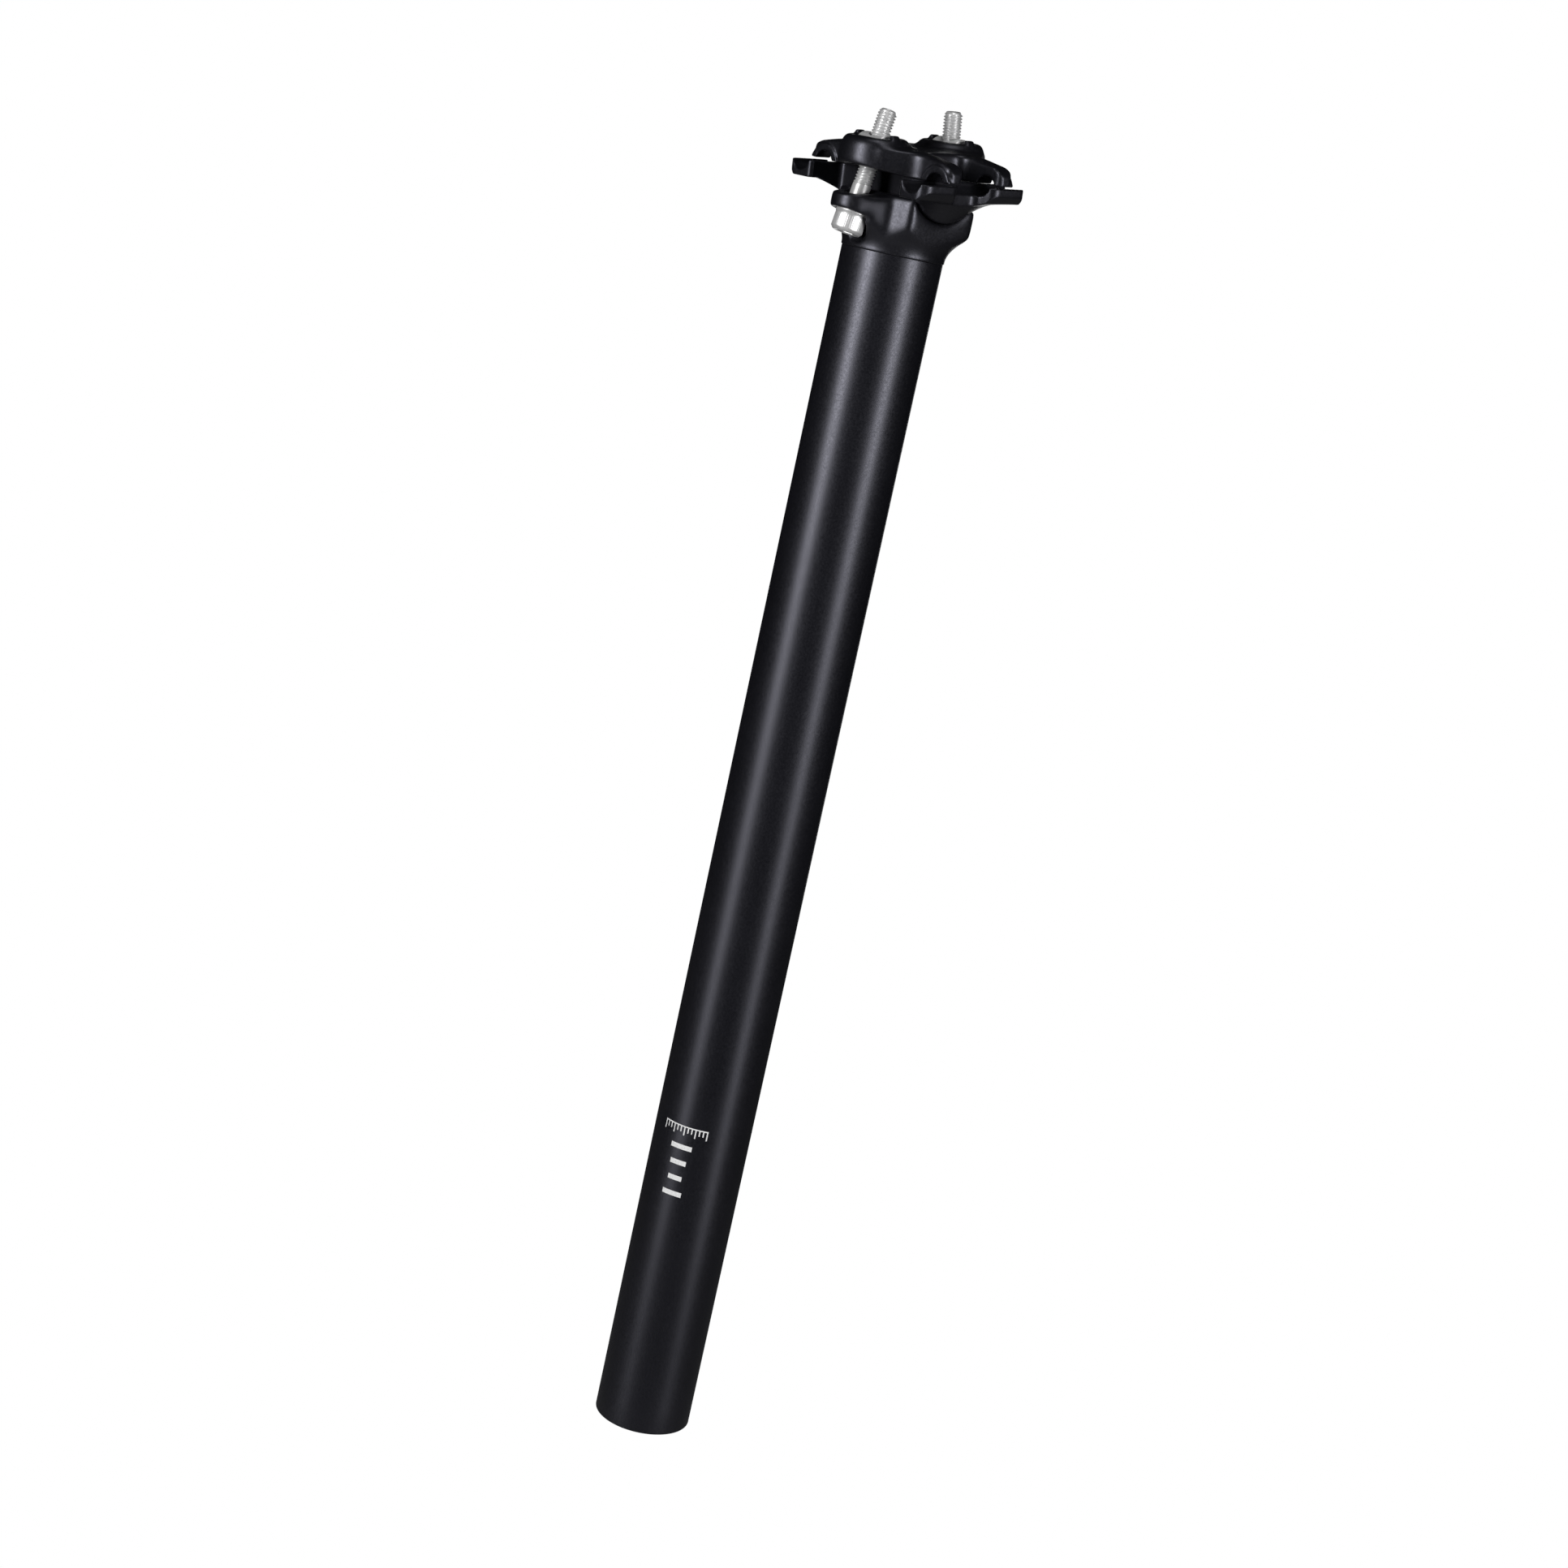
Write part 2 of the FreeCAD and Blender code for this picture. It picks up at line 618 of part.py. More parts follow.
def socket_bolt(side):
    """Socket-head bolt, head down; the threaded part is drawn at the thread's core diameter."""
    seat = WASHER_FOOT - SEAT_GAP
    foot = seat - BOLT_HEAD_HEIGHT
    head = Part.makeCylinder(BOLT_HEAD_RADIUS, BOLT_HEAD_HEIGHT, vec(0, 0, foot))
    rim = [e for e in head.Edges if e.BoundBox.ZMax < foot + 0.01]
    head = head.makeChamfer(0.5, rim)
    corner_radius = HEX_ACROSS_FLATS / 2 / math.cos(math.pi / 6)
    corners = []
    for i in range(6):
        angle = i * math.pi / 3
        corners.append(vec(corner_radius * math.cos(angle), corner_radius * math.sin(angle), foot))
    head = head.cut(prism(corners, vec(0, 0, HEX_DEPTH)))
    shank = Part.makeCylinder(BOLT_SHANK_RADIUS, PLAIN_SHANK_END - seat, vec(0, 0, seat))
    core = Part.makeCylinder(BOLT_CORE_RADIUS, BOLT_LENGTH, vec(0, 0, seat))
    tip = [e for e in core.Edges if e.BoundBox.ZMin > seat + BOLT_LENGTH - 0.01]
    core = core.makeChamfer(0.4, tip)
    return along_bolt(head.fuse([shank, core]).removeSplitter(), side)


def barrel_nut(side):
    centre = nut_centre(side)
    start = centre - vec(0, NUT_LENGTH / 2, 0)
    barrel = Part.makeCylinder(NUT_RADIUS, NUT_LENGTH, start, vec(0, 1, 0))
    ends = [e for e in barrel.Edges if e.BoundBox.YMax - e.BoundBox.YMin < 0.01]
    barrel = barrel.makeChamfer(0.4, ends)
    direction = bolt_direction(side)
    bore = Part.makeCylinder(NUT_BORE, 20, centre - direction * 10, direction)
    return barrel.cut(bore)


def main():
    os.makedirs("parts", exist_ok=True)
    nodes = {
        "post_tube": post_tube(),
        "forged_head": forged_head(),
        "lower_cradle": lower_cradle(),
        "upper_clamp": upper_clamp(),
        "front_bolt": socket_bolt(1),
        "rear_bolt": socket_bolt(-1),
        "front_barrel_nut": barrel_nut(1),
        "rear_barrel_nut": barrel_nut(-1),
        "front_swivel_washer": swivel_washer(1),
        "rear_swivel_washer": swivel_washer(-1),
    }
    for name, shape in nodes.items():
        shape.exportStep(f"parts/{name}.step")


main()
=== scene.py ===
import json
import math

import bmesh
import bpy
import numpy as np
from mathutils import Matrix, Vector


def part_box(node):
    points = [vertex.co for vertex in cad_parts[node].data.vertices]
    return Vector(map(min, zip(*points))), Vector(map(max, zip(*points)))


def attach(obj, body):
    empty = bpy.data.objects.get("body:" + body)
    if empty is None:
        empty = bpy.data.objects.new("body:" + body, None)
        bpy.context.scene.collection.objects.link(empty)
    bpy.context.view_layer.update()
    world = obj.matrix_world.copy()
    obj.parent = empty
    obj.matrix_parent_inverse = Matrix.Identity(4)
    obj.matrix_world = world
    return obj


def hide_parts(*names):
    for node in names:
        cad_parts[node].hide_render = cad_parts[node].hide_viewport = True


# A rigid bicycle seatpost standing upright, metres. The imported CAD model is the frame.
# +Z runs up the post, +X is forward and +Y is the rider's left.

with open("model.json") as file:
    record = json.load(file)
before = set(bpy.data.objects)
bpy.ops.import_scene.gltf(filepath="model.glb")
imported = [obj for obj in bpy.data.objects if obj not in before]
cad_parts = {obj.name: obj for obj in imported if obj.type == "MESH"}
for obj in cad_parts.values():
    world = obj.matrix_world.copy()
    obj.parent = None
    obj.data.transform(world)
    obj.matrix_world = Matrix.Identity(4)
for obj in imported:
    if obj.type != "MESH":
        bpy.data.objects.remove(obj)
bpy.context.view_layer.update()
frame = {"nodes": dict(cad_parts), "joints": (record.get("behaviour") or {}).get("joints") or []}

MM = 0.001
TAU = 2 * math.pi

# Camera: where it stands, which way it looks, and how far it is rolled
CAMERA_PLACE = Vector((0.49978, 0.54541, 0.35035))
CAMERA_AZIMUTH = 137.372
CAMERA_ELEVATION = 12.200
CAMERA_ROLL = 12.229
CAMERA_LENS = 63.354
SENSOR_WIDTH = 36.0
CLIP_NEAR = 0.01
CLIP_FAR = 50.0

# Joints by name, for their places and axes
JOINTS = {j["name"]: j for j in frame["joints"]}

# Tube
TUBE_WALL = 2.2 * MM
TUBE_SEGMENTS = 256
TUBE_EDGE = 0.45 * MM
SEAM_EDGE = 0.12 * MM
OUTSIDE_ROWS = 48
BORE_ROWS = 12

# Forgings
HEAD_VOXEL = 0.22 * MM
JAW_VOXEL = 0.2 * MM
SMALL_VOXEL = 0.11 * MM
WELD_DISTANCE = 1e-7
NUT_AHEAD = 13.1 * MM

# Bolts, measured from the centre that the bolt swings about, along its axis
BOLT_SEAT = 4.88 * MM
HEAD_HEIGHT = 5.0 * MM
HEAD_RADIUS = 4.25 * MM
SHANK_RADIUS = 2.5 * MM
SHANK_END = 12.5 * MM
THREAD_PITCH = 0.8 * MM
THREAD_ROOT = 2.02 * MM
THREAD_CREST = 2.48 * MM
CREST_SHARE = 0.14
FLANK_SHARE = 0.37
RINGS_PER_PITCH = 14
BOLT_TIP = BOLT_SEAT + 28.0 * MM
KNURL_TEETH = 54
KNURL_DEPTH = 0.06 * MM
HEX_HALF_FLATS = 2.0 * MM
HEX_DEPTH = 2.8 * MM


def link(name, mesh):
    piece = bpy.data.objects.new(name, mesh)
    bpy.context.scene.collection.objects.link(piece)
    return piece


def shade_smooth(mesh):
    mesh.polygons.foreach_set("use_smooth", [True] * len(mesh.polygons))


# ---------------------------------------------------------------- materials

def new_material(name):
    material = bpy.data.materials.new(name)
    material.use_nodes = True
    nodes = material.node_tree.nodes
    nodes.clear()
    output = nodes.new("ShaderNodeOutputMaterial")
    shader = nodes.new("ShaderNodeBsdfPrincipled")
    material.node_tree.links.new(shader.outputs["BSDF"], output.inputs["Surface"])
    return material, shader


def add(material, kind, **values):
    node = material.node_tree.nodes.new(kind)
    for key, value in values.items():
        setattr(node, key, value)
    return node


def wire(material, start, end):
    material.node_tree.links.new(start, end)


def noise(material, place, scale, detail=3.0, roughness=0.55):
    node = add(material, "ShaderNodeTexNoise")
    node.inputs["Scale"].default_value = scale
    node.inputs["Detail"].default_value = detail
    node.inputs["Roughness"].default_value = roughness
    wire(material, place, node.inputs["Vector"])
    return node


def ramp(material, source, low, high, start, end):
    """Grey or coloured ramp between two stops."""
    node = add(material, "ShaderNodeValToRGB")
    node.color_ramp.elements[0].position = start
    node.color_ramp.elements[0].color = low
    node.color_ramp.elements[1].position = end
    node.color_ramp.elements[1].color = high
    wire(material, source, node.inputs["Fac"])
    return node


def grey(value):
    return (value, value, value, 1)


def bump(material, shader, heights):
    """Chain of bumps from (height socket, strength, distance)."""
    last = None
    for height, strength, distance in heights:
        node = add(material, "ShaderNodeBump")
        node.inputs["Strength"].default_value = strength
        node.inputs["Distance"].default_value = distance
        wire(material, height, node.inputs["Height"])
        if last is not None:
            wire(material, last.outputs["Normal"], node.inputs["Normal"])
        last = node
    wire(material, last.outputs["Normal"], shader.inputs["Normal"])


GRAIN_SCALE = 5200.0


def anodised(name, base, rough, grain, grain_depth, wear_and_highlight):
    """Blasted and dyed aluminium: fine pitted grain, slow cloudiness, slightly paler edges that are
    partly wear and partly a painted edge highlight.
    """
    material, shader = new_material(name)
    place = add(material, "ShaderNodeTexCoord").outputs["Object"]
    fine = noise(material, place, grain, 4.0, 0.7)
    coarse = noise(material, place, grain * 0.35, 2.0)
    cloud = noise(material, place, 60.0, 3.0)
    tint = ramp(material, cloud.outputs["Fac"], base[0], base[1], 0.35, 0.7)
    speck = ramp(material, fine.outputs["Fac"], grey(0.0), grey(1.0), 0.54, 0.72)
    # Paler pointy edges: partly wear, partly a painted highlight where the rounded edges would catch
    # the light.
    edge = ramp(material, add(material, "ShaderNodeNewGeometry").outputs["Pointiness"],
                grey(0.0), grey(1.0), 0.53, 0.62)
    mix = add(material, "ShaderNodeMixRGB", blend_type="ADD")
    mix.inputs["Color2"].default_value = grey(0.007)
    wire(material, tint.outputs["Color"], mix.inputs["Color1"])
    wire(material, speck.outputs["Color"], mix.inputs["Fac"])
    worn_and_highlit = add(material, "ShaderNodeMixRGB", blend_type="ADD")
    worn_and_highlit.inputs["Color2"].default_value = grey(wear_and_highlight)
    wire(material, mix.outputs["Color"], worn_and_highlit.inputs["Color1"])
    wire(material, edge.outputs["Color"], worn_and_highlit.inputs["Fac"])
    wire(material, worn_and_highlit.outputs["Color"], shader.inputs["Base Color"])
    gloss = ramp(material, coarse.outputs["Fac"], grey(rough - 0.05), grey(rough + 0.06), 0.3, 0.7)
    wire(material, gloss.outputs["Color"], shader.inputs["Roughness"])
    shader.inputs["Metallic"].default_value = 0.0
    shader.inputs["Specular IOR Level"].default_value = 0.62
    shader.inputs["Specular Tint"].default_value = (0.86, 0.86, 1.0, 1)
    bump(material, shader, [
        (fine.outputs["Fac"], 0.4, grain_depth),
        (coarse.outputs["Fac"], 0.12, grain_depth),
    ])
    return material


def plated(name, low, high, rough, scratch):
    """Bright plated steel with faint turning marks and small dull patches."""
    material, shader = new_material(name)
    place = add(material, "ShaderNodeTexCoord").outputs["Object"]
    patch = noise(material, place, 900.0, 3.0)
    fine = noise(material, place, 6000.0, 3.0, 0.7)
    tint = ramp(material, patch.outputs["Fac"], low, high, 0.3, 0.7)
    wire(material, tint.outputs["Color"], shader.inputs["Base Color"])
    gloss = ramp(material, patch.outputs["Fac"], grey(rough + 0.09), grey(rough), 0.3, 0.65)
    wire(material, gloss.outputs["Color"], shader.inputs["Roughness"])
    shader.inputs["Metallic"].default_value = 0.55
    bump(material, shader, [(fine.outputs["Fac"], 0.25, scratch)])
    return material


def ink(name):
    """White printing ink with a slightly broken, matt face."""
    material, shader = new_material(name)
    place = add(material, "ShaderNodeTexCoord").outputs["Object"]
    fine = noise(material, place, 5000.0, 3.0)
    tint = ramp(material, fine.outputs["Fac"], grey(0.62), grey(0.9), 0.3, 0.6)
    wire(material, tint.outputs["Color"], shader.inputs["Base Color"])
    shader.inputs["Roughness"].default_value = 0.55
    bump(material, shader, [(fine.outputs["Fac"], 0.2, 0.01 * MM)])
    return material


def floor_material(name):
    """Pale paper sweep, lit evenly to white where it is seen and dim in reflections."""
    material, shader = new_material(name)
    place = add(material, "ShaderNodeTexCoord").outputs["Object"]
    cloud = noise(material, place, 1.5, 2.0)
    tint = ramp(material, cloud.outputs["Fac"], grey(0.3), grey(0.34), 0.3, 0.7)
    wire(material, tint.outputs["Color"], shader.inputs["Base Color"])
    shader.inputs["Roughness"].default_value = 0.9
    glow = add(material, "ShaderNodeEmission")
    glow.inputs["Strength"].default_value = 1.0
    path = add(material, "ShaderNodeLightPath")
    mix = add(material, "ShaderNodeMixShader")
    output = next(n for n in material.node_tree.nodes if n.type == "OUTPUT_MATERIAL")
    wire(material, path.outputs["Is Camera Ray"], mix.inputs["Fac"])
    wire(material, shader.outputs["BSDF"], mix.inputs[1])
    wire(material, glow.outputs["Emission"], mix.inputs[2])
    wire(material, mix.outputs["Shader"], output.inputs["Surface"])
    return material


TUBE_BLACK = anodised("tube_black", ((0.0036, 0.0036, 0.0052, 1), (0.0052, 0.0052, 0.0072, 1)),
                      0.35, GRAIN_SCALE, 0.012 * MM, 0.004)
FORGED_BLACK = anodised("forged_black", ((0.003, 0.003, 0.0042, 1), (0.005, 0.005, 0.0066, 1)),
                        0.36, GRAIN_SCALE, 0.03 * MM, 0.006)
BRIGHT_STEEL = plated("bright_steel", (0.7, 0.7, 0.705, 1), (0.84, 0.84, 0.84, 1), 0.3,
                      0.006 * MM)
NUT_STEEL = plated("nut_steel", (0.78, 0.78, 0.785, 1), (0.88, 0.88, 0.88, 1), 0.34, 0.01 * MM)
WHITE_INK = ink("white_ink")


# ---------------------------------------------------------------- lathe work

def lathe(name, profile, segments):
    """Ring-shaped solid round Z from a closed (radius, height) outline."""
    mesh = bpy.data.meshes.new(name)
    work = bmesh.new()
    rings = []
    for radius, height in profile:
        ring = []
        for i in range(segments):
            angle = TAU * i / segments
            place = (radius * math.cos(angle), radius * math.sin(angle), height)
            ring.append(work.verts.new(place))
        rings.append(ring)
    for k, ring in enumerate(rings):
        following = rings[(k + 1) % len(rings)]
        for i in range(segments):
            j = (i + 1) % segments
            work.faces.new((ring[i], ring[j], following[j], following[i]))
    bmesh.ops.recalc_face_normals(work, faces=work.faces)
    work.to_mesh(mesh)
    work.free()
    shade_smooth(mesh)
    return link(name, mesh)


def rounded(centre_r, centre_z, radius, start, end, steps=5):
    """Points of an arc in the (radius, height) plane, angles in degrees."""
    points = []
    for i in range(steps + 1):
        angle = math.radians(start + (end - start) * i / steps)
        points.append((centre_r + radius * math.cos(angle), centre_z + radius * math.sin(angle)))
    return points


def make_tube():
    low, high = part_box("post_tube")
    outer = high.x
    inner = outer - TUBE_WALL
    edge = TUBE_EDGE
    small = SEAM_EDGE
    profile = rounded(outer - edge, low.z + edge, edge, -90, 0, 8)
    for i in range(1, OUTSIDE_ROWS):
        z = low.z + edge + (high.z - small - low.z - edge) * i / OUTSIDE_ROWS
        profile.append((outer, z))
    profile += rounded(outer - small, high.z - small, small, 0, 90, 4)
    profile += rounded(inner + small, high.z - small, small, 90, 180, 4)
    for i in range(1, BORE_ROWS):
        profile.append((inner, high.z + (low.z - high.z) * i / BORE_ROWS))
    profile += rounded(inner + edge, low.z + edge, edge, 180, 270, 8)
    tube = lathe("seat_tube", profile, TUBE_SEGMENTS)
    tube.data.materials.append(TUBE_BLACK)
    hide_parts("post_tube")
    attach(tube, "post")
    return outer


# ---------------------------------------------------------------- forgings

def cad_copy(node, voxel):
    """Evenly meshed copy of a CAD node's solid."""
    mesh = frame["nodes"][node].data.copy()
    work = bmesh.new()
    work.from_mesh(mesh)
    bmesh.ops.remove_doubles(work, verts=work.verts, dist=WELD_DISTANCE)
    work.to_mesh(mesh)
    work.free()
    source = link("source_" + node, mesh)
    remesh = source.modifiers.new("even", "REMESH")
    remesh.mode = "VOXEL"
    remesh.voxel_size = voxel
    remesh.adaptivity = 0.0
    graph = bpy.context.evaluated_depsgraph_get()
    result = bpy.data.meshes.new_from_object(source.evaluated_get(graph))
    bpy.data.objects.remove(source)
    return result


def relax(mesh, passes, share, swell=0.0):
    """Smoothing; share gives each vertex's own weight from its position array.

    With swell above 0 every second pass pushes back out, so that only edges and dents soften."""
    count = len(mesh.vertices)
    flat = np.zeros(count * 3)
    mesh.vertices.foreach_get("co", flat)
    points = flat.reshape(-1, 3)
    ends = np.zeros(len(mesh.edges) * 2, dtype=np.int64)
    mesh.edges.foreach_get("vertices", ends)
    ends = ends.reshape(-1, 2)
    degree = np.bincount(ends.ravel(), minlength=count).astype(float)
    weight = share(points)[:, None]
    for turn in range(passes):
        total = np.zeros_like(points)
        for axis in range(3):
            total[:, axis] = np.bincount(ends[:, 0], points[ends[:, 1], axis], count)
            total[:, axis] += np.bincount(ends[:, 1], points[ends[:, 0], axis], count)
        average = total / degree[:, None]
        gain = -swell if turn % 2 and swell > 0 else 1.0
        points = points + (average - points) * weight * gain
    mesh.vertices.foreach_set("co", points.ravel())
    mesh.update()


def step(value, low, high):
    """Smooth 0 to 1 step."""
    t = np.clip((value - low) / (high - low), 0, 1)
    return t * t * (3 - 2 * t)


def forging(node, name, body, voxel, flow, material):
    """Rounded stand-in for a CAD node; flow lists (passes, share, swell) for relax."""
    mesh = cad_copy(node, voxel)
    mesh.name = name
    for passes, share, swell in flow:
        relax(mesh, passes, share, swell)
    shade_smooth(mesh)
    mesh.materials.clear()
    mesh.materials.append(material)
    piece = link(name, mesh)
    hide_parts(node)
    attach(piece, body)


def head_share(points):
    """The seam with the tube and all inside it stay crisp."""
    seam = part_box("post_tube")[1].z
    above = step(points[:, 2], seam + 0.4 * MM, seam + 2.0 * MM)
    return 0.05 + 0.5 * above


def root_share(points):
    """Extra flow where the lugs and the block grow out of the collar."""
    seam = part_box("post_tube")[1].z
    above = step(points[:, 2], seam + 1.0 * MM, seam + 2.6 * MM)
    below = 1 - step(points[:, 2], seam + 14.0 * MM, seam + 17.0 * MM)
    out = step(np.hypot(points[:, 0], points[:, 1]), 9.0 * MM, 10.5 * MM)
    clear = np.ones(len(points))
    for side in ("front", "rear"):
        place = np.array(JOINTS[side + "_bolt_turn"]["pos_m"])
        away = np.hypot(points[:, 0] - place[0], points[:, 1])
        clear = np.minimum(clear, step(away, 5.2 * MM, 6.4 * MM))
    return 0.5 * above * below * out * clear


def clamp_places(points):
    """Places in the clamp's own frame: ahead along the rails, across, and up from the pivot."""
    up = np.array(JOINTS["upper_clamp_lift"]["axis"])
    ahead = np.array((up[2], 0.0, -up[0]))
    local = points - np.array(JOINTS["cradle_tilt"]["pos_m"])
    return local @ ahead, points[:, 1], local @ up


def wing_share(points):
    """Full flow over the upper clamp's body; its lips, groove rims and nut pockets stay crisp."""
    ahead, across, up = clamp_places(points)
    across = np.abs(across)
    above_lips = step(up, 0.3 * MM, 1.7 * MM)
    rim = step(across, 15.0 * MM, 17.0 * MM) * (1 - step(up, 3.9 * MM, 5.0 * MM))
    tip = step(across, 21.0 * MM, 24.0 * MM)
    from_nut = np.hypot(np.abs(ahead) - NUT_AHEAD, across)
    pocket = (1 - step(from_nut, 7.3 * MM, 9.0 * MM)) * step(up, 3.6 * MM, 4.8 * MM)
    return 0.5 * above_lips * (1 - 0.96 * np.maximum(rim, tip)) * (1 - pocket)


def off_lips_share(points):
    """Even flow everywhere but on the thin lips that close on the rails, inboard of their ends."""
    across, up = clamp_places(points)[1:]
    near = step(up, -2.2 * MM, -1.5 * MM) * (1 - step(up, -0.1 * MM, 0.6 * MM))
    inboard = 1 - step(np.abs(across), 25.4 * MM, 26.6 * MM)
    return 0.5 * (1 - 0.9 * near * inboard)


def even_share(amount):
    return lambda points: np.full(len(points), amount)


# ---------------------------------------------------------------- bolts

def thread_radius(phase):
    """Radius of the thread's surface at a share of one pitch: flat crest, straight flanks, root."""
    distance = abs(phase - 0.5)
    if distance < CREST_SHARE / 2:
        return THREAD_CREST
    if distance < CREST_SHARE / 2 + FLANK_SHARE:
        share = (distance - CREST_SHARE / 2) / FLANK_SHARE
        return THREAD_CREST + (THREAD_ROOT - THREAD_CREST) * share
    return THREAD_ROOT


def hexagon_radius(angle):
    part = TAU / 6
    return HEX_HALF_FLATS / math.cos((angle % part) - part / 2)


def bolt_rings():
    """Rings of (radius function, height function) from the socket's bottom out and up to the tip."""
    foot = BOLT_SEAT - HEAD_HEIGHT
    top = BOLT_SEAT
    rings = []

    def ring(radius, height):
        rings.append((radius, height))

    def plain(radius, height):
        ring(lambda angle: radius, height)

    def hexed(share, height):
        ring(lambda angle: hexagon_radius(angle) * share, height)

    def knurled(radius, height, depth):
        def at(angle):
            wave = abs(((angle * KNURL_TEETH / TAU) % 1.0) - 0.5) * 2
            return radius - depth * (1 - min(1.0, wave * 1.35))
        ring(at, height)

    plain(0.35 * MM, foot + HEX_DEPTH + 0.55 * MM)
    plain(1.2 * MM, foot + HEX_DEPTH + 0.25 * MM)
    hexed(0.92, foot + HEX_DEPTH + 0.02 * MM)
    hexed(1.0, foot + HEX_DEPTH - 0.1 * MM)
    for i in range(1, 6):
        hexed(1.0, foot + HEX_DEPTH - (HEX_DEPTH - 0.3 * MM) * i / 5)
    hexed(1.04, foot + 0.14 * MM)
    plain(HEX_HALF_FLATS / math.cos(math.pi / 6) + 0.12 * MM, foot + 0.02 * MM)
    plain(HEAD_RADIUS - 1.1 * MM, foot)
    plain(HEAD_RADIUS - 0.75 * MM, foot + 0.02 * MM)
    plain(HEAD_RADIUS - 0.62 * MM, foot + 0.07 * MM)
    plain(HEAD_RADIUS - 0.34 * MM, foot + 0.38 * MM)
    plain(HEAD_RADIUS - 0.2 * MM, foot + 0.56 * MM)
    knurled(HEAD_RADIUS - 0.04 * MM, foot + 0.72 * MM, 0.0)
    knurled(HEAD_RADIUS, foot + 0.86 * MM, KNURL_DEPTH * 0.7)
    knurled(HEAD_RADIUS, foot + 1.0 * MM, KNURL_DEPTH)
    for i in range(1, 7):
        knurled(HEAD_RADIUS, foot + (1.0 + 3.1 * i / 6) * MM, KNURL_DEPTH)
    knurled(HEAD_RADIUS - 0.02 * MM, top - 0.72 * MM, KNURL_DEPTH * 0.5)
    plain(HEAD_RADIUS - 0.06 * MM, top - 0.58 * MM)
    plain(HEAD_RADIUS - 0.08 * MM, top - 0.14 * MM)
    plain(HEAD_RADIUS - 0.2 * MM, top - 0.02 * MM)
    plain(HEAD_RADIUS - 0.34 * MM, top)
    plain(SHANK_RADIUS + 0.16 * MM, top)
    plain(SHANK_RADIUS + 0.03 * MM, top + 0.06 * MM)
    plain(SHANK_RADIUS - 0.01 * MM, top + 0.25 * MM)
    plain(SHANK_RADIUS - 0.01 * MM, SHANK_END - 0.5 * MM)
    plain(SHANK_RADIUS - 0.03 * MM, SHANK_END)
    start = SHANK_END + 0.1 * MM
    end = BOLT_TIP - 0.25 * MM
    steps = int((end - start) / (THREAD_PITCH / RINGS_PER_PITCH))
    for i in range(steps + 1):
        height = start + (end - start) * i / steps
        fade_in = min(1.0, (height - start) / (0.9 * THREAD_PITCH))
        taper = max(0.0, (height - (BOLT_TIP - 0.85 * MM)) / (0.6 * MM))

        def threaded(angle, height=height, fade_in=fade_in, taper=taper):
            phase = (height / THREAD_PITCH - angle / TAU) % 1.0
            radius = thread_radius(phase)
            radius = SHANK_RADIUS - 0.03 * MM + (radius - SHANK_RADIUS + 0.03 * MM) * fade_in
            limit = THREAD_CREST - (THREAD_CREST - THREAD_ROOT + 0.1 * MM) * min(1.0, taper)
            return min(radius, limit)

        ring(threaded, height)
    plain(THREAD_ROOT - 0.14 * MM, BOLT_TIP - 0.1 * MM)
    plain(THREAD_ROOT - 0.28 * MM, BOLT_TIP - 0.02 * MM)
    plain(THREAD_ROOT - 0.5 * MM, BOLT_TIP)
    plain(0.6 * MM, BOLT_TIP)
    return rings


def bolt_mesh(name):
    segments = KNURL_TEETH * 4
    mesh = bpy.data.meshes.new(name)
    work = bmesh.new()
    rows = []
    rings = bolt_rings()
    for radius, height in rings:
        row = []
        for i in range(segments):
            angle = TAU * i / segments
            r = radius(angle)
            row.append(work.verts.new((r * math.cos(angle), r * math.sin(angle), height)))
        rows.append(row)
    for row, following in zip(rows, rows[1:]):
        for i in range(segments):
            j = (i + 1) % segments
            work.faces.new((row[i], row[j], following[j], following[i]))
    bottom = work.verts.new((0, 0, rings[0][1] + 0.1 * MM))
    tip = work.verts.new((0, 0, BOLT_TIP))
    for i in range(segments):
        j = (i + 1) % segments
        work.faces.new((bottom, rows[0][j], rows[0][i]))
        work.faces.new((rows[-1][i], rows[-1][j], tip))
    bmesh.ops.recalc_face_normals(work, faces=work.faces)
    work.to_mesh(mesh)
    work.free()
    shade_smooth(mesh)
    mesh.materials.append(BRIGHT_STEEL)
    return mesh


def along(joint):
    """Matrix that stands something drawn round +Z on a joint's place and axis."""
    place = Vector(JOINTS[joint]["pos_m"])
    axis = Vector(JOINTS[joint]["axis"]).normalized()
    side = Vector((0, 1, 0)).cross(axis).normalized()
    turn = Matrix((side, Vector((0, 1, 0)), axis)).transposed().to_4x4()
    return Matrix.Translation(place) @ turn


def make_bolt(name, node, joint, body):
    piece = link(name, bolt_mesh(name))
    piece.data.transform(along(joint))
    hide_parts(node)
    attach(piece, body)


# ---------------------------------------------------------------- printed marks

MARK_TOP = 92.0 * MM
MARK_ROW = 4.6 * MM
MARK_FACING = 26.0
INK_DEPTH = 0.02 * MM
TICKS = 13
SCALE_HALF = 6.6
TICK_STEP = 1.1
TICK_HALF = 0.17 * MM
LONG_TICK = 2.4 * MM
SHORT_TICK = 1.5 * MM
SCALE_LINE_HALF = 6.8 * MM
SCALE_LINE_TALL = 0.34 * MM
BAR_HALVES = (3.2, 2.4, 2.1, 2.9)
BAR_LOW = 0.5 * MM
BAR_HIGH = 1.9 * MM


def wrapped(name, mesh, radius):
    """Bends a flat mesh (x across, y up) round the tube, facing MARK_FACING degrees from +X."""
    for vertex in mesh.vertices:
        angle = math.radians(MARK_FACING) + vertex.co.x / radius
        r = radius + vertex.co.z
        vertex.co = Vector((r * math.cos(angle), r * math.sin(angle), vertex.co.y))
    piece = link(name, mesh)
    mesh.materials.clear()
    mesh.materials.append(WHITE_INK)
    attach(piece, "post")


